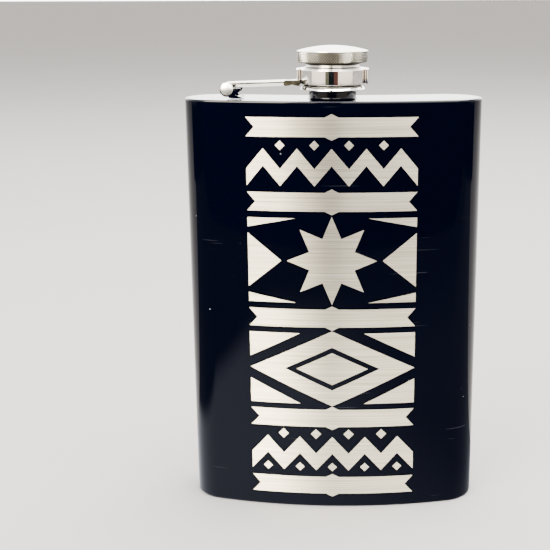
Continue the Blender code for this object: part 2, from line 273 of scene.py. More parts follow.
def apply_modifiers(made):
    bpy.context.view_layer.update()
    evaluated = made.evaluated_get(bpy.context.evaluated_depsgraph_get())
    mesh = bpy.data.meshes.new_from_object(evaluated)
    made.modifiers.clear()
    made.data = mesh
    return mesh


def soften(made, width):
    """A narrow rounded bevel on every edge that turns by more than 40 degrees."""
    modifier = made.modifiers.new("soften", "BEVEL")
    modifier.width = width
    modifier.segments = 2
    modifier.limit_method = "ANGLE"
    modifier.angle_limit = math.radians(40)
    shade(apply_modifiers(made))


def weight_normals(made):
    """Large faces keep their own direction, and the rounded edges between them take up the turn."""
    modifier = made.modifiers.new("weights", "WEIGHTED_NORMAL")
    modifier.mode = "FACE_AREA"
    modifier.keep_sharp = True
    modifier.weight = 90
    apply_modifiers(made)


def combine(target, tool, operation="UNION"):
    """Adds the tool's solid to the target, or takes it away, and removes the tool."""
    modifier = target.modifiers.new("combine", "BOOLEAN")
    modifier.object = tool
    modifier.operation = operation
    modifier.solver = "EXACT"
    shade(apply_modifiers(target))
    bpy.data.objects.remove(tool)


# ---------- materials ----------


class Graph:
    """A short way to write a material's node graph. Scales are repeats per metre of the object."""

    COLOUR_A, COLOUR_B, COLOUR_OUT = 6, 7, 2  # a Mix node's colour sockets

    def __init__(self, name):
        self.material = bpy.data.materials.new(name)
        self.material.use_nodes = True
        self.nodes = self.material.node_tree.nodes
        self.links = self.material.node_tree.links
        self.shader = self.nodes["Principled BSDF"]
        self.place = self.nodes.new("ShaderNodeTexCoord").outputs["Object"]

    def node(self, kind, inputs=None, **settings):
        made = self.nodes.new(kind)
        for key, value in settings.items():
            setattr(made, key, value)
        for key, value in (inputs or {}).items():
            self.feed(made.inputs[key], value)
        return made

    def feed(self, socket, value):
        if isinstance(value, bpy.types.NodeSocket):
            self.links.new(value, socket)
        else:
            socket.default_value = value

    def noise(self, scale, rotation=(0, 0, 0), location=(0, 0, 0), detail=3.0, roughness=0.5):
        mapping = {"Vector": self.place, "Scale": scale, "Rotation": rotation, "Location": location}
        vector = self.node("ShaderNodeMapping", mapping).outputs["Vector"]
        inputs = {"Vector": vector, "Scale": 1.0, "Detail": detail, "Roughness": roughness}
        return self.node("ShaderNodeTexNoise", inputs).outputs["Fac"]

    def spots(self, scale):
        """Distance from the nearest of a set of scattered points."""
        return self.node("ShaderNodeTexVoronoi", {"Vector": self.place, "Scale": scale}).outputs["Distance"]

    def ramp(self, value, low, high, to_low=0.0, to_high=1.0):
        inputs = {"Value": value, "From Min": low, "From Max": high, "To Min": to_low, "To Max": to_high}
        return self.node("ShaderNodeMapRange", inputs, clamp=True).outputs["Result"]

    def math(self, operation, a, b=0.0):
        made = self.node("ShaderNodeMath", operation=operation)
        self.feed(made.inputs[0], a)
        self.feed(made.inputs[1], b)
        return made.outputs[0]

    def mix(self, factor, a, b):
        made = self.node("ShaderNodeMix", data_type="RGBA")
        self.feed(made.inputs["Factor"], factor)
        self.feed(made.inputs[self.COLOUR_A], a)
        self.feed(made.inputs[self.COLOUR_B], b)
        return made.outputs[self.COLOUR_OUT]

    def bump(self, height, distance, strength, normal=None):
        made = self.node("ShaderNodeBump", {"Height": height, "Distance": distance, "Strength": strength})
        if normal:
            self.links.new(normal, made.inputs["Normal"])
        return made.outputs["Normal"]

    def smudge(self):
        """A cloud of fingermark size for polished metal."""
        return self.noise((150, 150, 190), rotation=(0.4, 0.2, 0), detail=4.0, roughness=0.6)

    def split(self):
        """The X, Y and Z outputs of the point being shaded."""
        return self.node("ShaderNodeSeparateXYZ", {0: self.place}).outputs

    def radius_and_level(self):
        """Distance from the cap's axis, and height, of the point being shaded."""
        offset = self.node("ShaderNodeVectorMath", {0: self.place, 1: (0, -AXIS_Y, 0)}, operation="ADD")
        flat = self.node("ShaderNodeVectorMath", {0: offset.outputs[0], 1: (1, 1, 0)}, operation="MULTIPLY")
        radius = self.node("ShaderNodeVectorMath", {0: flat.outputs[0]}, operation="LENGTH")
        return radius.outputs["Value"], self.split()["Z"]

    def set(self, **inputs):
        """Feeds the shader's sockets, named with _ for each space, and gives the material."""
        for key, value in inputs.items():
            self.feed(self.shader.inputs[key.replace("_", " ")], value)
        return self.material


def rgba(red, green, blue):
    return (red, green, blue, 1.0)


def gloss_coat():
    """Blue-black gloss coat: a faint orange peel, dust specks, hairline scratches and handling marks."""
    g = Graph("gloss_coat")
    peel = g.noise((420, 420, 420), detail=1.0)
    sag = g.noise((38, 38, 30), detail=1.0)
    normal = g.bump(sag, 0.05 * MM, 0.35, g.bump(peel, 0.004 * MM, 0.35))

    speck = g.ramp(g.spots(210.0), 0.035, 0.05, 1.0, 0.0)
    chance = g.ramp(g.noise((95, 95, 95), detail=2.0), 0.56, 0.6)
    dust = g.math("MULTIPLY", speck, chance)
    one = g.noise((26, 26, 1500), rotation=(0.9, 0.75, 0.2), detail=0.0)
    other = g.noise((34, 34, 1700), rotation=(-0.6, -1.1, 0.5), detail=0.0)
    hair = g.ramp(g.math("MAXIMUM", one, other), 0.80, 0.84)
    patch = g.ramp(g.noise((46, 46, 40), location=(3, 1, 7), detail=2.0), 0.52, 0.62)
    scratch = g.math("MULTIPLY", hair, patch)
    marks = g.math("MAXIMUM", dust, g.math("MULTIPLY", scratch, 0.16))

    cloud = g.noise((14, 14, 9), detail=2.0)
    tone = g.mix(cloud, rgba(0.0001, 0.0003, 0.0019), rgba(0.0002, 0.0004, 0.0027))
    colour = g.mix(marks, tone, rgba(0.17, 0.18, 0.20))
    wiped = g.noise((26, 26, 17), rotation=(0, 0.6, 0), detail=4.0, roughness=0.65)
    smear = g.ramp(wiped, 0.35, 0.75, 0.035, 0.075)
    rough = g.math("MAXIMUM", smear, g.math("MULTIPLY", marks, 0.55))
    return g.set(Base_Color=colour, Roughness=rough, IOR=1.22, Normal=normal)


def polished_steel(name="polished_steel", roughness=(0.035, 0.1), tone=(0.86, 0.825, 0.785)):
    """Polished stainless steel with fine buffing lines and slight smudges."""
    g = Graph(name)
    lines = g.noise((700, 700, 9000), detail=2.0)
    soft = g.noise((260, 260, 260), detail=3.0)
    smudge = g.smudge()
    colour = g.mix(smudge, rgba(*(0.93 * c for c in tone)), rgba(*tone))
    rough = g.ramp(smudge, 0.35, 0.7, *roughness)
    normal = g.bump(lines, 0.0012 * MM, 0.25, g.bump(soft, 0.01 * MM, 0.12))
    return g.set(Base_Color=colour, Metallic=1.0, Roughness=rough, Normal=normal)


def knurled_steel():
    """The cap's head: polished on the dome and the crests, with painted shade in the rougher grooves of the
    knurl.
    """
    g = Graph("knurled_steel")
    radius, level = g.radius_and_level()
    crest = g.ramp(radius, HEAD_RADIUS - 0.19 * MM, HEAD_RADIUS - 0.03 * MM)
    rim_low = g.ramp(level, TOP + HEAD_EDGE - 0.2 * MM, TOP + HEAD_EDGE - 0.05 * MM)
    unshaded = g.math("MAXIMUM", crest, rim_low)
    grime = g.noise((300, 300, 300), detail=3.0)
    metal = g.mix(grime, rgba(0.80, 0.765, 0.70), rgba(0.88, 0.85, 0.80))
    # painted shade: the knurl's grooves are near black, while the crests and the rim's top band keep the
    # metal colour
    colour = g.mix(unshaded, rgba(0.040, 0.034, 0.020), metal)
    rough = g.math("ADD", g.ramp(unshaded, 0.0, 1.0, 0.30, 0.07), g.ramp(grime, 0.3, 0.8, 0.0, 0.05))
    buff = g.noise((900, 900, 900), detail=2.0)
    return g.set(Base_Color=colour, Metallic=1.0, Roughness=rough, Normal=g.bump(buff, 0.002 * MM, 0.2))


def skirt_steel():
    """Polished steel with painted shade: half dark at the waist above the collar, and near black in the
    groove under the head and over the lip.
    """
    g = Graph("skirt_steel")
    radius, level = g.radius_and_level()
    # painted shade in the groove under the head and in the gap between the lip and the collar
    under_head = g.ramp(level, TOP + HEAD_FOOT - 0.72 * MM, TOP + HEAD_FOOT - 0.55 * MM)
    deep = g.ramp(radius, 9.55 * MM, 9.25 * MM)
    low = g.ramp(level, TOP + COLLAR_FOOT + 0.5 * MM, TOP + COLLAR_FOOT + 0.3 * MM)
    above = g.ramp(level, TOP + 3.5 * MM, TOP + 3.7 * MM)
    over_lip = g.math("MULTIPLY", g.math("MULTIPLY", deep, low), above)
    smudge = g.noise((190, 190, 190), detail=4.0, roughness=0.6)
    painted_shade = g.math("MAXIMUM", under_head, over_lip)
    # painted shade: above the collar, under the head, the skirt is mixed half way to dark brown
    waist = g.ramp(level, TOP + COLLAR_TOP - 0.1 * MM, TOP + COLLAR_TOP + 0.1 * MM, 0.0, 0.5)
    unshaded = g.mix(smudge, rgba(0.80, 0.77, 0.72), rgba(0.87, 0.84, 0.79))
    metal = g.mix(waist, unshaded, rgba(0.10, 0.09, 0.06))
    colour = g.mix(painted_shade, metal, rgba(0.012, 0.011, 0.010))
    rough = g.math("MAXIMUM", g.math("MULTIPLY", painted_shade, 0.45), g.ramp(smudge, 0.35, 0.7, 0.04, 0.1))
    lines = g.noise((700, 700, 9000), detail=2.0)
    return g.set(Base_Color=colour, Metallic=1.0, Roughness=rough, Normal=g.bump(lines, 0.0012 * MM, 0.25))


def strap_steel():
    """Polished steel, with painted shade in the rolled crease along each edge of the strap.

    The crease is found from the strap's own slope: so far below its top face, and so far from its middle."""
    g = Graph("strap_steel")
    split = g.split()
    climb = g.math("SUBTRACT", split["Z"], g.math("MULTIPLY", split["X"], math.tan(ARM_SLOPE)))
    top = HINGE.z - HINGE.x * math.tan(ARM_SLOPE) + EYE_RADIUS / math.cos(ARM_SLOPE)
    off = g.math("ABSOLUTE", g.math("SUBTRACT", climb, top - 0.44 * MM))
    across = g.math("ABSOLUTE", g.math("SUBTRACT", split["Y"], AXIS_Y))
    inside = g.ramp(across, ARM_HALF_WIDTH - 0.005 * MM, ARM_HALF_WIDTH - 0.05 * MM)
    not_bore = g.ramp(across, ARM_HALF_WIDTH - CREASE - 0.12 * MM, ARM_HALF_WIDTH - CREASE - 0.04 * MM)
    level = g.ramp(off, 0.21 * MM, 0.17 * MM)
    past_eye = g.ramp(split["X"], HINGE.x + 1.2 * MM, HINGE.x + 3.0 * MM)
    side = g.math("MULTIPLY", inside, not_bore)
    crease = g.math("MULTIPLY", g.math("MULTIPLY", side, level), past_eye)
    smudge = g.smudge()
    metal = g.mix(smudge, rgba(0.50, 0.475, 0.44), rgba(0.57, 0.54, 0.50))
    # painted shade: the crease is near black
    colour = g.mix(crease, metal, rgba(0.014, 0.013, 0.010))
    rough = g.math("MAXIMUM", g.math("MULTIPLY", crease, 0.5), g.ramp(smudge, 0.35, 0.7, 0.05, 0.13))
    lines = g.noise((300, 6000, 6000), detail=2.0)
    return g.set(Base_Color=colour, Metallic=1.0, Roughness=rough, Normal=g.bump(lines, 0.0015 * MM, 0.3))


def sheared_steel():
    """The cheeks' faces, left grey and grainy by the press tool."""
    g = Graph("sheared_steel")
    grain = g.noise((2600, 2600, 2600), detail=4.0, roughness=0.7)
    patch = g.noise((700, 700, 900), detail=3.0)
    torn = g.ramp(g.math("MULTIPLY", grain, patch), 0.14, 0.36)
    colour = g.mix(torn, rgba(0.005, 0.0045, 0.0035), rgba(0.034, 0.030, 0.021))
    rough = g.ramp(grain, 0.3, 0.7, 0.38, 0.62)
    return g.set(Base_Color=colour, Metallic=1.0, Roughness=rough, Normal=g.bump(grain, 0.03 * MM, 0.6))


def brushed_steel():
    """Bare steel where the coat is cut away, brushed across the flask, with painted light: bright low down
    and darker towards the top.
    """
    g = Graph("brushed_steel")
    fine = g.noise((30, 30, 3600), detail=3.0, roughness=0.6)
    broad = g.noise((10, 10, 1100), detail=3.0, roughness=0.6)
    cloud = g.noise((30, 30, 24), detail=3.0)
    grain = g.math("ADD", g.math("MULTIPLY", fine, 0.6), g.math("MULTIPLY", broad, 0.4))
    streak = g.ramp(grain, 0.36, 0.64)
    height = g.split()["Z"]
    # painted light: bright cream low on the flask, fading to darker steel towards the top
    painted_light_by_height = g.ramp(g.math("ADD", height, g.math("MULTIPLY", cloud, 0.03)), 0.045, 0.105)
    dull = g.mix(painted_light_by_height, rgba(0.50, 0.435, 0.31), rgba(0.17, 0.153, 0.122))
    bright = g.mix(painted_light_by_height, rgba(0.84, 0.76, 0.58), rgba(0.39, 0.355, 0.29))
    metal = g.mix(streak, dull, bright)
    colour = g.mix(g.ramp(cloud, 0.45, 0.8, 0.0, 0.35), metal, rgba(0.52, 0.465, 0.36))
    rough = g.ramp(grain, 0.3, 0.7, 0.40, 0.32)
    tangent = g.node("ShaderNodeTangent", direction_type="RADIAL", axis="Z").outputs[0]
    normal = g.bump(grain, 0.006 * MM, 0.5)
    g.set(Base_Color=colour, Metallic=1.0, Roughness=rough, Normal=normal, Tangent=tangent)
    return g.set(Anisotropic=1.0, Anisotropic_Rotation=0.25)


def silicone():
    """The seal: off-white, matt and slightly cloudy."""
    g = Graph("seal_silicone")
    cloud = g.noise((220, 220, 220), detail=4.0)
    colour = g.mix(cloud, rgba(0.66, 0.65, 0.60), rgba(0.80, 0.79, 0.75))
    rough = g.ramp(cloud, 0.3, 0.7, 0.42, 0.58)
    normal = g.bump(g.noise((2500, 2500, 2500), detail=2.0), 0.01 * MM, 0.3)
    g.set(Base_Color=colour, Roughness=rough, Normal=normal)
    return g.set(Subsurface_Weight=0.15, Subsurface_Scale=1.0 * MM)


def floor_finish():
    """Pale matt board, with no sheen to mirror the cards' edges."""
    g = Graph("floor")
    cloud = g.noise((3, 3, 3), detail=4.0)
    fine = g.noise((900, 900, 900), detail=2.0)
    colour = g.mix(cloud, rgba(0.236, 0.222, 0.212), rgba(0.252, 0.240, 0.230))
    normal = g.bump(fine, 0.01 * MM, 0.2)
    return g.set(Base_Color=colour, Roughness=0.9, Specular_IOR_Level=0.0, Normal=normal)


# ---------- flask body ----------


def kidney(inset):
    """The flask's plan outline, anticlockwise from the front's left end and moved in by the inset."""
    bend = (0, BEND_Y)
    end_y = AXIS_Y + HIP_CURVE
    quarter = math.pi / 2
    reach = END_RADIUS - inset
    rear_radius = BEND_RADIUS - END_RADIUS + inset
    front = arc(bend, FRONT_RADIUS - inset, -quarter - BEND_ANGLE, -quarter + BEND_ANGLE, SIDE_STEPS)
    right = arc((END_X, end_y), reach, -quarter + BEND_ANGLE, quarter + BEND_ANGLE, END_STEPS)
    rear = arc(bend, rear_radius, -quarter + BEND_ANGLE, -quarter - BEND_ANGLE, SIDE_STEPS)
    left = arc((-END_X, end_y), reach, quarter - BEND_ANGLE, 3 * quarter - BEND_ANGLE, END_STEPS)
    return front[:-1] + right[:-1] + rear[:-1] + left[:-1]


def kidney_loops(profile):
    """One outline for each inset and level of the profile."""
    return [[(x, y, level) for x, y in kidney(inset)] for inset, level in profile]


def make_sleeve():
    """The drawn tube with rounded ends, thicker inside where the plates are welded in."""
    low, high = 0.8 * MM, 0.6 * MM
    step = PLATE_FLANGE + 0.3 * MM
    foot = [(low * (1 - math.sin(a)), low * (1 - math.cos(a))) for a in QUARTER_TURN]
    head = [(high * (1 - math.cos(a)), TOP - high * (1 - math.sin(a))) for a in QUARTER_TURN]
    levels = 12
    between = [(0, low + (TOP - low - high) * i / levels) for i in range(1, levels)]
    inside = [
        (RIM_WALL - 0.05 * MM, TOP), (RIM_WALL, TOP - 0.08 * MM), (RIM_WALL, TOP - step),
        (WALL, TOP - step - WALL), (WALL, step + WALL), (RIM_WALL, step), (RIM_WALL, 0.05 * MM),
        (RIM_WALL - 0.03 * MM, 0),
    ]
    return loft("flask_sleeve", kidney_loops(foot + between + head + inside))


def make_top_plate():
    """The plate between the sleeve's rim and the neck, with its flange turned down inside the sleeve."""
    directions = [math.atan2(y - AXIS_Y, x) for x, y in kidney(0)]

    def hole(radius, level):
        return [(radius * math.cos(a), AXIS_Y + radius * math.sin(a), level) for a in directions]

    edge = PLATE_EDGE
    flange = TOP - PLATE_FLANGE
    outer = [
        (edge + 0.10 * MM, TOP - 0.01 * MM), (edge + 0.03 * MM, TOP - 0.03 * MM), (edge, TOP - 0.10 * MM),
        (edge, flange), (edge + PLATE, flange), (edge + PLATE, TOP - PLATE),
    ]
    rim = NECK_BASE_RADIUS + 0.2 * MM
    loops = [hole(rim, TOP - 0.01 * MM), *kidney_loops(outer), hole(rim, TOP - PLATE)]
    return loft("flask_top_plate", loops)


def make_base_plate():
    edge = PLATE_EDGE
    profile = [
        (edge + 6 * MM, 0), (edge + 0.12 * MM, 0), (edge + 0.03 * MM, 0.03 * MM), (edge, 0.12 * MM),
        (edge, PLATE_FLANGE), (edge + PLATE, PLATE_FLANGE), (edge + PLATE, PLATE), (edge + 6 * MM, PLATE),
    ]
    return loft("flask_base_plate", kidney_loops(profile), capped=True)


def thread(first_level, root, crest):
    """A shape for turned: a helical ridge from the root radius to the crest's, faded at both ends."""
    half_foot = 0.32 * THREAD_PITCH
    half_crest = 0.1 * THREAD_PITCH
    fade_turns = 0.15

    def shape(angle, radius, level):
        if abs(radius - root) > 0.001 * MM:
            return radius
        share = 0.0
        for lap in range(math.ceil(THREAD_TURNS)):
            turns = angle / math.tau + lap
            fade = min(1.0, turns / fade_turns, (THREAD_TURNS - turns) / fade_turns)
            if fade <= 0:
                continue
            off = abs(level - first_level - THREAD_PITCH * turns)
            flank = min(1.0, max(0.0, (half_foot - off) / (half_foot - half_crest)))
            share = max(share, fade * flank * flank * (3 - 2 * flank))
        return radius + (crest - root) * share

    return shape


def make_neck():
    """The spout: a flange under the plate, a wide base flared onto it, and the threaded tube."""
    flange_top = -PLATE - 0.3 * MM
    flange_radius = NECK_BASE_RADIUS + 1.5 * MM
    base_top = SKIRT_FOOT - 0.3 * MM
    flare = 0.75 * MM
    profile = [
        (NECK_BORE, flange_top - PLATE), (flange_radius, flange_top - PLATE), (flange_radius, flange_top),
        (NECK_BASE_RADIUS, flange_top), (NECK_BASE_RADIUS, 0),
    ]
    profile += [
        (NECK_BASE_RADIUS + flare * (1 - math.sin(a)), 0.01 * MM + flare * (1 - math.cos(a)))
        for a in QUARTER_TURN
    ]
    profile += [
        (NECK_BASE_RADIUS, base_top - 0.2 * MM), (NECK_BASE_RADIUS - 0.06 * MM, base_top - 0.06 * MM),
        (NECK_BASE_RADIUS - 0.2 * MM, base_top), (NECK_ROOT_RADIUS + 0.15 * MM, base_top),
        (NECK_ROOT_RADIUS, base_top + 0.15 * MM), (NECK_ROOT_RADIUS, NECK_RIM - 0.3 * MM),
    ]
    profile = subdivided(profile, len(profile) - 2, len(profile) - 1, THREAD_STEP)
    profile += [
        (NECK_ROOT_RADIUS - 0.08 * MM, NECK_RIM - 0.08 * MM), (NECK_ROOT_RADIUS - 0.2 * MM, NECK_RIM),
        (NECK_BORE + 0.1 * MM, NECK_RIM), (NECK_BORE, NECK_RIM - 0.1 * MM),
    ]
    shape = thread(base_top + 0.9 * MM, NECK_ROOT_RADIUS, NECK_CREST_RADIUS)
    return turned("flask_neck", profile, steps=144, shape=shape)


# ---------- hinge ----------


def make_bracket():
    """The folded saddle: two ears with a stop lug each, the foot between them, and the pin's bore."""
    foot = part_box("hinge_bracket")[0].z - HINGE.z
    ear_outline = [
        *arc((-0.1 * MM, -0.35 * MM), 2.1 * MM, math.radians(-5), math.radians(285), 48),
        (0.4 * MM, foot), (4.6 * MM, foot), (4.5 * MM, foot + 0.35 * MM), (3.6 * MM, foot + 0.6 * MM),
        (2.9 * MM, foot + 0.8 * MM), (2.5 * MM, foot + 1.2 * MM), (3.2 * MM, foot + 1.4 * MM),
        (3.9 * MM, foot + 2.0 * MM), (4.35 * MM, foot + 2.9 * MM), (4.2 * MM, foot + 3.1 * MM),
        (3.4 * MM, foot + 3.0 * MM), (2.6 * MM, foot + 2.5 * MM),
    ]
    web_outline = [
        (0.5 * MM, foot), (4.4 * MM, foot), (4.4 * MM, foot + 0.34 * MM), (3.5 * MM, foot + 0.58 * MM),
        (0.5 * MM, foot + 0.58 * MM),
    ]
    web_end = EAR_OUTER - 0.2 * MM
    bore_outline = arc((0, 0), EYE_BORE, 0, math.tau, 48)[:-1]
    bore_end = 2 * EAR_OUTER
    bracket = plate_from("hinge_saddle", ear_outline, -EAR_OUTER, -EAR_INNER, HINGE)
    combine(bracket, plate_from("web", web_outline, -web_end, web_end, HINGE))
    combine(bracket, plate_from("ear", ear_outline, EAR_INNER, EAR_OUTER, HINGE))
    combine(bracket, plate_from("bore", bore_outline, -bore_end, bore_end, HINGE), "DIFFERENCE")
    soften(bracket, 0.08 * MM)
    return bracket


def make_pin():
    """A rivet with a domed front head and a peened rear head."""
    face = EAR_OUTER + 0.12 * MM
    head = 1.95 * MM
    shank = 1.0 * MM
    rise = 0.5 * MM
    ball = (head**2 + rise**2) / (2 * rise)
    edge = math.asin(head / ball)
    crown = face + 0.68 * MM
    dome_steps = 12
    front = [(head - 0.1 * MM, face), (head, face + 0.06 * MM), (head, crown - rise)]
    for i in range(1, dome_steps):
        angle = edge * (1 - i / dome_steps)
        front.append((ball * math.sin(angle), crown - ball + ball * math.cos(angle)))
    front.append((0, crown))
    rear = [
        (0, -face - 0.5 * MM), (0.7 * MM, -face - 0.48 * MM), (1.2 * MM, -face - 0.38 * MM),
        (1.5 * MM, -face - 0.15 * MM), (1.52 * MM, -face),
    ]
    profile = rear + [(shank, -face), (shank, face)] + front
    turn = Matrix.Rotation(math.radians(90), 4, "X")
    return turned("hinge_rivet", profile, steps=64, place=HINGE, turn=turn, smooth_angle=50)


def strap_section(leg):
    """A channel open below, seen along the strap: each point's distance across and depth below the top."""
    half = ARM_HALF_WIDTH
    splay = 0.14
    left = [
        (-half - leg * splay, ARM_SHEET + leg), (-half, 0.64 * MM), (-half + CREASE, 0.58 * MM),
        (-half + CREASE, 0.30 * MM), (-half, 0.24 * MM), (-half + 0.08 * MM, 0.08 * MM),
        (-half + 0.3 * MM, 0),
    ]
    right = [(-w, d) for w, d in reversed(left)]
    inner = half - ARM_SHEET
    inside = [(inner, ARM_SHEET + leg), (inner, ARM_SHEET), (-inner, ARM_SHEET), (-inner, ARM_SHEET + leg)]
    return left + right + inside


def make_arm():
    """The strap from its curled eye to the collar, a channel whose side rails fade out towards the eye."""
    curl_end = math.radians(372)
    curl_start = math.radians(90) + ARM_SLOPE
    along = Vector((math.cos(ARM_SLOPE), 0, math.sin(ARM_SLOPE)))
    up = Vector((-along.z, 0, along.x))
    curl_steps = 48
    stations = []
    for i in range(curl_steps + 1):
        angle = curl_end + (curl_start - curl_end) * i / curl_steps
        out = Vector((math.cos(angle), 0, math.sin(angle)))
        stations.append((out * EYE_RADIUS, out, 0.0))
    reach = -HINGE.x - BAND_RADIUS + 0.6 * MM
    full_leg = 0.72 * MM
    strap_steps = 40
    for i in range(1, strap_steps + 1):
        distance = reach * i / strap_steps
        t = min(1.0, max(0.0, (distance - 2.2 * MM) / (2.0 * MM)))
        stations.append((along * distance + up * EYE_RADIUS, up, full_leg * t * t * (3 - 2 * t)))
    loops = []
    for centre, out, leg in stations:
        section = strap_section(leg)
        loops.append([HINGE + centre - out * depth + Vector((0, across, 0)) for across, depth in section])
    return loft("arm_strap", loops, capped=True)


def make_cheeks():
    """The plates that join the strap's two sides to the band, each with a rounded toe and a hollow foot."""
    root_x = -math.sqrt(BAND_RADIUS**2 - (4.4 * MM) ** 2) - HINGE.x
    root_z = root_x * math.tan(ARM_SLOPE) + EYE_BORE
    foot = COLLAR_FOOT - (HINGE.z - TOP) - 0.5 * MM
    outline = [
        (root_x + 0.5 * MM, root_z + ARM_SHEET),
        (root_x - 4.0 * MM, root_z + ARM_SHEET - 0.05 * MM),
        (root_x - 4.45 * MM, root_z + 0.55 * MM),
        (root_x - 4.6 * MM, root_z + 0.25 * MM),
        *arc((root_x - 3.95 * MM, foot + 0.65 * MM), 0.65 * MM, math.radians(180), math.radians(300), 10),
        *arc((root_x - 2.0 * MM, foot - 2.1 * MM), 2.45 * MM, math.radians(115), math.radians(65), 10),
        (root_x + 0.5 * MM, foot),
    ]
    outer = ARM_HALF_WIDTH + 0.9 * MM
    inner = outer - 1.3 * MM
    return [
        plate_from(name, outline, side * outer, side * inner, HINGE, bevel=0.12 * MM)
        for name, side in (("arm_cheek_front", -1), ("arm_cheek_rear", 1))
    ]


def make_band():
    """The U-shaped band round the collar's rear, with rounded edges and ends."""
    start, end = math.radians(-9), math.radians(189)
    thick = BAND_RADIUS - BAND_BORE
    middle = (BAND_RADIUS + BAND_BORE) / 2
    outline = []
    sides = ((BAND_RADIUS, start, end, end), (BAND_BORE, end, start, start + math.pi))
    for radius, first, last, turn in sides:
        tip = (middle * math.cos(last), middle * math.sin(last))
        outline += arc((0, 0), radius, first, last, 96) + arc(tip, thick / 2, turn, turn + math.pi, 14)[1:-1]
    high = COLLAR_TOP + 0.05 * MM
    return plate_from("arm_band", outline, COLLAR_FOOT, high, CAP_AXIS, bevel=0.2 * MM, upright=True)


# ---------- cap ----------


def make_collar():
    corners = [
        (COLLAR_BORE, COLLAR_FOOT), (COLLAR_RADIUS, COLLAR_FOOT), (COLLAR_RADIUS, COLLAR_TOP),
        (COLLAR_BORE, COLLAR_TOP),
    ]
    profile = rounded(corners, [0.15 * MM, 0.22 * MM, 0.25 * MM, 0.15 * MM])
    return turned("cap_collar", profile, steps=192)


def make_skirt():
    """The threaded sleeve: a lip under the collar, a waist between two beads above it, and a flange."""
    roof = NECK_RIM + 1.8 * MM
    flange = HEAD_BORE - 0.3 * MM
    waist = SKIRT_RADIUS - 0.4 * MM
    inside = [(0, roof), (SKIRT_BORE, roof), (SKIRT_BORE, SKIRT_FOOT + 0.9 * MM)]
    inside = subdivided(inside, 1, 2, THREAD_STEP)
    lip = [
        (SKIRT_BORE - 0.15 * MM, SKIRT_FOOT + 0.3 * MM),
        (SKIRT_BORE + 0.05 * MM, SKIRT_FOOT + 0.05 * MM),
        (SKIRT_BORE + 0.4 * MM, SKIRT_FOOT),
        (COLLAR_RADIUS - 0.6 * MM, SKIRT_FOOT),
        (COLLAR_RADIUS - 0.2 * MM, SKIRT_FOOT + 0.06 * MM),
        (COLLAR_RADIUS, SKIRT_FOOT + 0.22 * MM),
        (COLLAR_RADIUS - 0.03 * MM, SKIRT_FOOT + 0.38 * MM),
        (COLLAR_RADIUS - 0.12 * MM, SKIRT_FOOT + 0.5 * MM),
        (COLLAR_RADIUS - 0.5 * MM, SKIRT_FOOT + 0.95 * MM),
        (COLLAR_RADIUS - 0.85 * MM, SKIRT_FOOT + 1.3 * MM),
        (SKIRT_RADIUS + 0.12 * MM, SKIRT_FOOT + 1.5 * MM),
        (SKIRT_RADIUS, SKIRT_FOOT + 1.9 * MM),
    ]
    bead = [
        (SKIRT_RADIUS, COLLAR_TOP + 0.1 * MM),
        (SKIRT_RADIUS + 0.08 * MM, COLLAR_TOP + 0.22 * MM),
        (SKIRT_RADIUS + 0.08 * MM, COLLAR_TOP + 0.42 * MM),
        (SKIRT_RADIUS - 0.05 * MM, COLLAR_TOP + 0.55 * MM),
        (waist + 0.08 * MM, COLLAR_TOP + 0.68 * MM),
        (waist, COLLAR_TOP + 0.85 * MM),
        (waist, COLLAR_TOP + 1.05 * MM),
        (waist + 0.1 * MM, COLLAR_TOP + 1.25 * MM),
        (SKIRT_RADIUS - 0.05 * MM, COLLAR_TOP + 1.42 * MM),
        (SKIRT_RADIUS + 0.06 * MM, COLLAR_TOP + 1.55 * MM),
        (SKIRT_RADIUS + 0.06 * MM, COLLAR_TOP + 1.8 * MM),
    ]
    top = [
        (SKIRT_RADIUS, HEAD_FOOT + 0.3 * MM), (flange - 0.1 * MM, HEAD_FOOT + 0.3 * MM),
        (flange, HEAD_FOOT + 0.4 * MM), (flange, roof + 1.3 * MM), (flange - 0.1 * MM, roof + 1.4 * MM),
        (0, roof + 1.4 * MM),
    ]
    shape = thread(SKIRT_FOOT + 2.0 * MM, SKIRT_BORE, SKIRT_CREST_RADIUS)
    return turned("cap_threaded_skirt", inside + lip + bead + top, steps=192, shape=shape)


def knurl(angle, radius, level):
    """A shape for turned: diamonds between two crossing sets of grooves, on the head's rim only."""
    low = HEAD_FOOT + 0.45 * MM
    high = HEAD_EDGE - 0.12 * MM
    if radius < HEAD_RADIUS - 0.02 * MM or level < low - 0.4 * MM or level > high:
        return radius
    u = angle * KNURLS / math.tau
    v = (level - low) / KNURL_HEIGHT
    groove = min(abs(2 * ((u + v) % 1) - 1), abs(2 * ((u - v) % 1) - 1))
    return radius - KNURL_DEPTH * (1 - groove)


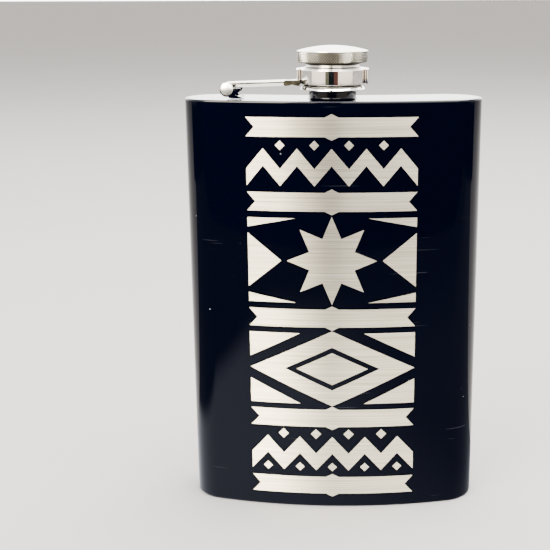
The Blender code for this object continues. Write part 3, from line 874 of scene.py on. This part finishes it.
def make_head():
    """The grip: a shallow polished dome over a knurled rim with a chamfered foot."""
    rise = DOME_TOP - HEAD_EDGE
    edge_radius = HEAD_RADIUS - 0.02 * MM
    dome = (edge_radius**2 + rise**2) / (2 * rise)
    half = math.asin(edge_radius / dome)
    centre = DOME_TOP - dome
    dome_steps = 28
    turns = [half * (1 - i / dome_steps) for i in range(dome_steps)]
    outside = [(dome * math.sin(a), centre + dome * math.cos(a)) for a in turns]
    outside.append((0, DOME_TOP))
    shallow = DOME_TOP - 1.0 * MM
    inside = [
        (0, shallow), (HEAD_BORE * 0.5, shallow - 0.25 * MM), (HEAD_BORE, shallow - 1.1 * MM),
        (HEAD_BORE, HEAD_FOOT),
    ]
    foot = [
        (HEAD_RADIUS - 0.75 * MM, HEAD_FOOT), (HEAD_RADIUS - 0.62 * MM, HEAD_FOOT + 0.03 * MM),
        (HEAD_RADIUS, HEAD_FOOT + 0.5 * MM), (HEAD_RADIUS, HEAD_EDGE - 0.14 * MM),
    ]
    foot = subdivided(foot, 2, 3, KNURL_HEIGHT / KNURL_STEPS)
    crown = [(HEAD_RADIUS, HEAD_EDGE - 0.10 * MM), (HEAD_RADIUS, HEAD_EDGE - 0.04 * MM)]
    profile = inside + foot + crown + outside
    steps = KNURLS * KNURL_STEPS
    return turned("cap_knurled_head", profile, steps=steps, shape=knurl, smooth_angle=28)


def make_seal():
    """A disc with a shallow dished ring pressed into its underside."""
    radius = SKIRT_CREST_RADIUS - 0.05 * MM
    low = NECK_RIM + 0.3 * MM
    high = low + 1.2 * MM
    profile = [
        (0, low + 0.05 * MM), (4.2 * MM, low + 0.05 * MM), (4.5 * MM, low + 0.2 * MM),
        (5.0 * MM, low + 0.2 * MM), (5.3 * MM, low), (radius - 0.3 * MM, low),
        (radius - 0.08 * MM, low + 0.08 * MM), (radius, low + 0.3 * MM), (radius, high - 0.15 * MM),
        (radius - 0.15 * MM, high), (0, high),
    ]
    return turned("cap_seal", profile, steps=96)


# ---------- ornament ----------


def mirrored(shapes):
    """The shapes, and the same shapes on the other side of the flask's middle."""
    return shapes + [[(-u, v) for u, v in reversed(shape)] for shape in shapes]


def lozenge(u, v, half_width, half_height):
    return [(u - half_width, v), (u, v - half_height), (u + half_width, v), (u, v + half_height)]


def notched_bar(v, half_width, height):
    """A bar with swallow-tailed ends and a small point in the middle of each long side."""
    low, high = v - height / 2, v + height / 2
    notch = half_width - 0.45 * height
    half_point, point = 2.2, 1.1
    return [
        (-half_width, low), (-half_point, low), (0, low - point), (half_point, low), (half_width, low),
        (notch, v), (half_width, high), (half_point, high), (0, high + point), (-half_point, high),
        (-half_width, high), (-notch, v),
    ]


def star(v, outer, inner, points):
    radii = [outer, inner] * points
    turns = [math.pi / 2 + math.pi * i / points for i in range(2 * points)]
    return [(radius * math.cos(a), v + radius * math.sin(a)) for radius, a in zip(radii, turns)]


def lozenge_frame(v, outer_width, outer_height, inner_width, inner_height):
    """A lozenge with a lozenge hole, as four mitred sides."""
    outer = lozenge(0, v, outer_width, outer_height)
    inner = lozenge(0, v, inner_width, inner_height)
    return [[outer[i], outer[(i + 1) % 4], inner[(i + 1) % 4], inner[i]] for i in range(4)]


def zigzag(v, half_width, height, band, teeth):
    """A zigzag strip, as one mitred piece per side of each tooth."""
    step = half_width / teeth
    made = []
    for i in range(2 * teeth):
        a = -half_width + i * step
        b = a + step
        low, high = (v, v + height) if i % 2 == 0 else (v + height, v)
        made.append([(a, low), (b, high), (b, high + band), (a, low + band)])
    return made


def ornament_shapes():
    """The engraved column in millimetres: across the front, and up from the base."""
    half = ORNAMENT_HALF_WIDTH
    shapes = [notched_bar(v, half, 6.0) for v in (7.8, 31.8, 66.2, 104.2, 127.6)]
    # lower zigzag with lozenges above and below
    shapes += zigzag(13.2, half, 6.0, 6.0, 5)
    shapes += mirrored([lozenge(u, 26.2, 1.7, 1.7) for u in (5.4, 16.2)])
    shapes.append(lozenge(0, 14.4, 1.5, 1.5))
    shapes += mirrored([lozenge(u, 14.4, 1.5, 1.5) for u in (10.8, 21.6)])
    # framed lozenge between four corner triangles
    shapes += lozenge_frame(49.0, half, 12.9, 15.5, 7.4)
    shapes.append(lozenge(0, 49.0, 11.6, 5.5))
    corners = [[(half, 36.9), (half, 45.2), (10.4, 36.9)], [(half, 61.1), (10.4, 61.1), (half, 52.8)]]
    shapes += mirrored(corners)
    # star between wings
    shapes.append(star(85.2, 14.4, 7.8, 8))
    wings = [
        [(16.2, 85.2), (half, 76.4), (half, 94.0)],
        [(half, 71.4), (half, 74.4), (11.6, 71.4)],
        [(half, 99.0), (11.6, 99.0), (half, 96.0)],
    ]
    shapes += mirrored(wings)
    # upper zigzag with lozenges above
    shapes += zigzag(109.2, half, 6.4, 5.4, 5)
    shapes += mirrored([lozenge(u, 122.0, 1.5, 1.5) for u in (5.4, 16.2)])
    return shapes


def make_ornament():
    """Each shape is cut into narrow strips, given a thickness and wrapped on the flask's front."""
    bm = bmesh.new()
    for shape in ornament_shapes():
        bm.faces.new([bm.verts.new((u * MM, 0, v * MM)) for u, v in shape])
    bm.normal_update()  # the concave shapes are filled wrongly without it
    bmesh.ops.triangulate(bm, faces=bm.faces)
    bmesh.ops.remove_doubles(bm, verts=bm.verts, dist=0.01 * MM)
    for i in range(-ORNAMENT_HALF_WIDTH, ORNAMENT_HALF_WIDTH + 1):
        every = bm.verts[:] + bm.edges[:] + bm.faces[:]
        bmesh.ops.bisect_plane(bm, geom=every, plane_co=(i * MM, 0, 0), plane_no=(1, 0, 0), dist=0.002 * MM)
    grown = bmesh.ops.extrude_face_region(bm, geom=bm.faces[:])
    raised = {item for item in grown["geom"] if isinstance(item, bmesh.types.BMVert)}
    for vert in bm.verts:
        radius = FRONT_RADIUS + (ORNAMENT_PROUD if vert in raised else -ORNAMENT_SUNK) * MM
        angle = vert.co.x / FRONT_RADIUS
        vert.co = Vector((radius * math.sin(angle), BEND_Y - radius * math.cos(angle), vert.co.z))
    return finish_mesh("flask_ornament", bm, smooth_angle=30)


# ---------- assembly ----------


def place(piece, body, finish, slot, *nodes):
    """Gives a piece its material, the body it rides on and the CAD nodes it stands for. The slot is not
    used.
    """
    weight_normals(piece)
    piece.data.materials.clear()
    piece.data.materials.append(finish)
    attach(piece, body)
    if nodes:
        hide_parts(*nodes)


def build_object():
    coat = gloss_coat()
    steel = polished_steel()
    for make, node in (
        (make_sleeve, "body_sleeve"), (make_top_plate, "top_plate"), (make_base_plate, "base_plate"),
        (make_neck, "filler_neck"), (make_bracket, "hinge_bracket"),
    ):
        place(make(), "flask", coat, "gloss_coat", node)
    rivet_steel = polished_steel("rivet_steel", roughness=(0.30, 0.42), tone=(0.80, 0.76, 0.70))
    place(make_pin(), "flask", rivet_steel, "polished_steel", "hinge_pin")
    place(make_ornament(), "flask", brushed_steel(), "polished_steel")

    place(make_arm(), "arm", strap_steel(), "polished_steel", "cap_arm")
    place(make_band(), "arm", steel, "polished_steel")
    sheared = sheared_steel()
    for cheek in make_cheeks():
        place(cheek, "arm", sheared, "polished_steel")
    place(make_collar(), "arm", steel, "polished_steel", "swivel_collar")

    place(make_skirt(), "cap", skirt_steel(), "polished_steel", "cap_skirt")
    place(make_head(), "cap", knurled_steel(), "polished_steel", "cap_head")
    place(make_seal(), "cap", silicone(), "seal_rubber", "seal_disc")


# ---------- studio ----------


def card(name, corners, colour):
    """A panel that only mirror-like reflections see."""
    mesh = bpy.data.meshes.new(name)
    mesh.from_pydata([Vector(c) for c in corners], [], [tuple(range(len(corners)))])
    made = bpy.data.objects.new(name, mesh)
    bpy.context.scene.collection.objects.link(made)
    finish = bpy.data.materials.new(name)
    finish.use_nodes = True
    nodes = finish.node_tree.nodes
    nodes.remove(nodes["Principled BSDF"])
    glow = nodes.new("ShaderNodeEmission")
    glow.inputs["Color"].default_value = rgba(*colour)
    finish.node_tree.links.new(glow.outputs[0], nodes["Material Output"].inputs["Surface"])
    mesh.materials.append(finish)
    made.visible_camera = False
    made.visible_diffuse = False
    made.visible_shadow = False
    made.visible_transmission = False
    return made


def upright_card(name, x0, x1, z0, z1, colour, y=FLAG_Y):
    card(name, [(x0, y, z0), (x1, y, z0), (x1, y, z1), (x0, y, z1)], colour)


def soft_light(name, place_at, target, size, power, colour=(1, 1, 1)):
    light = bpy.data.lights.new(name, "AREA")
    light.size = size
    light.energy = power
    light.color = colour
    made = bpy.data.objects.new(name, light)
    made.location = place_at
    made.rotation_euler = (Vector(target) - Vector(place_at)).to_track_quat("-Z", "Y").to_euler()
    bpy.context.scene.collection.objects.link(made)
    made.visible_camera = False


def map_range(nodes, interpolation, *limits):
    made = nodes.new("ShaderNodeMapRange")
    made.interpolation_type = interpolation
    for key, limit in zip(("From Min", "From Max", "To Min", "To Max"), limits):
        made.inputs[key].default_value = limit
    return made


def build_world():
    """A soft white room, brightest at the horizon and even above it."""
    world = bpy.data.worlds.new("studio")
    world.use_nodes = True
    bpy.context.scene.world = world
    nodes = world.node_tree.nodes
    links = world.node_tree.links
    background = nodes["Background"]
    split = nodes.new("ShaderNodeSeparateXYZ")
    links.new(nodes.new("ShaderNodeTexCoord").outputs["Generated"], split.inputs[0])
    height = map_range(nodes, "LINEAR", 0.0, WORLD_FADE, WORLD_LOW, WORLD_HIGH)
    links.new(split.outputs["Z"], height.inputs["Value"])
    links.new(height.outputs[0], background.inputs["Strength"])
    background.inputs["Color"].default_value = rgba(1.0, 0.985, 0.965)


def build_floor():
    mesh = bpy.data.meshes.new("studio_floor")
    reach = FLOOR_REACH
    corners = [(-reach, -reach, 0), (reach, -reach, 0), (reach, reach, 0), (-reach, reach, 0)]
    mesh.from_pydata(corners, [], [(0, 1, 2, 3)])
    mesh.materials.append(floor_finish())
    floor = bpy.data.objects.new("studio_floor", mesh)
    bpy.context.scene.collection.objects.link(floor)


def glow_patch(flag):
    """Makes a card glow softly a little left of the flask and fade out to both sides and to the front.

    Its strength is the product of three fades, plus an even glow."""
    tree = flag.data.materials[0].node_tree
    nodes, links = tree.nodes, tree.links
    split = nodes.new("ShaderNodeSeparateXYZ")
    links.new(nodes.new("ShaderNodeTexCoord").outputs["Object"], split.inputs[0])
    strength = None
    for axis, start, end, low, high in (
        ("X", -0.132, -0.100, 0.0, 2.3), ("X", -0.05, 0.075, 1.0, 0.1), ("Y", -0.30, -0.11, 0.0, 1.0)
    ):
        fade = map_range(nodes, "SMOOTHSTEP", start, end, low, high)
        links.new(split.outputs[axis], fade.inputs["Value"])
        if strength is None:
            strength = fade.outputs[0]
            continue
        product = nodes.new("ShaderNodeMath")
        product.operation = "MULTIPLY"
        links.new(strength, product.inputs[0])
        links.new(fade.outputs[0], product.inputs[1])
        strength = product.outputs[0]
    total = nodes.new("ShaderNodeMath")
    total.operation = "ADD"
    total.inputs[1].default_value = FLAG_GLOW
    links.new(strength, total.inputs[0])
    links.new(total.outputs[0], nodes["Emission"].inputs["Strength"])


def build_flags():
    """Dark cards in front and at the sides, which keep the coat dark, and bright strips above them."""
    left, right, front, rear = -WING_X, WING_X, FLAG_Y, FLOOR_FLAG_REAR
    lift = FLOOR_FLAG_LIFT
    low = [(left, front, lift), (right, front, lift), (right, rear, lift), (left, rear, lift)]
    glow_patch(card("flag_floor", low, (0.95, 1.0, 1.08)))
    upright_card("flag_centre", -0.05, 0.05, 0, FLAG_TOP, (0.04, 0.05, 0.16))
    warm, navy, near_black = (3.0, 2.6, 2.15), (0.05, 0.085, 0.26), (0.03, 0.035, 0.07)
    sloped = [(0.05, FLAG_TOP), (0.22, FLAG_TOP), (0.6, 0.084), (1.0, 0.057), (FLAG_WIDE, 0.013)]
    for name, side, inner, shade_colour in (
        ("left", -1, -STRIPE_LEFT, navy), ("right", 1, STRIPE_RIGHT, near_black)
    ):
        edge = [(side * x, FLAG_Y, z) for x, z in sloped]
        wide = side * FLAG_WIDE
        card("flag_" + name, [*edge, (wide, FLAG_Y, 0), (side * 0.05, FLAG_Y, 0)], shade_colour)
        first = (side * inner, FLAG_Y, FLAG_TOP)
        sky = [first, *edge[1:], (wide, FLAG_Y, STRIP_TOP), (side * inner, FLAG_Y, STRIP_TOP)]
        card("strip_" + name, sky, warm)
        wing = side * WING_X
        sheet = [(FLAG_Y, WING_TOP), (FLAG_Y, 0), (WING_REAR, 0), (WING_REAR, WING_TOP)]
        card("flag_wing_" + name, [(wing, y, z) for y, z in sheet], near_black)


def build_bounces():
    """The stripes that the collar mirrors, and the panels further off that the other steel mirrors."""
    for name, x0, x1, colour in (
        ("stripe_olive", STRIPE_LEFT, -0.078, (0.20, 0.20, 0.13)),
        ("stripe_black", -0.078, 0.045, (0.008, 0.014, 0.014)),
        ("stripe_brown", 0.045, STRIPE_RIGHT, (0.17, 0.07, 0.055)),
    ):
        upright_card(name, x0, x1, FLAG_TOP, STRIPE_TOP, colour)
    for name, x0, x1, colour in (
        ("bounce_cream", -1.1, -0.276, (62.0, 57.0, 45.0)),
        ("bounce_tan", -0.276, -0.204, (5.0, 4.5, 3.6)),
        ("bounce_pale", -0.204, -0.12, (16.0, 14.8, 12.6)),
        ("bounce_dark", -0.12, 0.02, (0.1, 0.095, 0.09)),
        ("bounce_light", 0.02, 0.85, (15.0, 14.3, 12.8)),
    ):
        upright_card(name, x0, x1, 0.35, 1.9, colour, y=BOUNCE_Y)
    upright_card("rear_panel", -2.5, 2.5, 0.15, 2.2, (8.0, 7.9, 7.7), y=REAR_Y)


def build_studio():
    build_floor()
    build_world()
    soft_light("key", (-0.75, -0.85, 1.0), (0, 0, 0.07), 0.9, 45.0, (1.0, 0.98, 0.95))
    soft_light("overhead", (0.2, 0.1, 1.3), (0, 0.1, 0), 1.2, 150.0)
    build_flags()
    build_bounces()


def build_camera():
    """The camera fitted to the flask's edges: turned to the left, tilted down and slightly rolled."""
    camera = bpy.data.cameras.new("camera")
    camera.sensor_width = 36.0
    camera.lens = CAMERA_LENS
    camera.shift_x = CAMERA_SHIFT
    camera.clip_start = 0.01
    camera.clip_end = 4 * FLOOR_REACH
    made = bpy.data.objects.new("camera", camera)
    turn = Matrix.Rotation(CAMERA_TURN, 4, "Z") @ Matrix.Rotation(math.pi / 2 - CAMERA_TILT, 4, "X")
    made.matrix_world = Matrix.Translation(CAMERA_PLACE) @ turn @ Matrix.Rotation(CAMERA_ROLL, 4, "Z")
    bpy.context.scene.collection.objects.link(made)
    bpy.context.scene.camera = made


build_object()
build_studio()
build_camera()
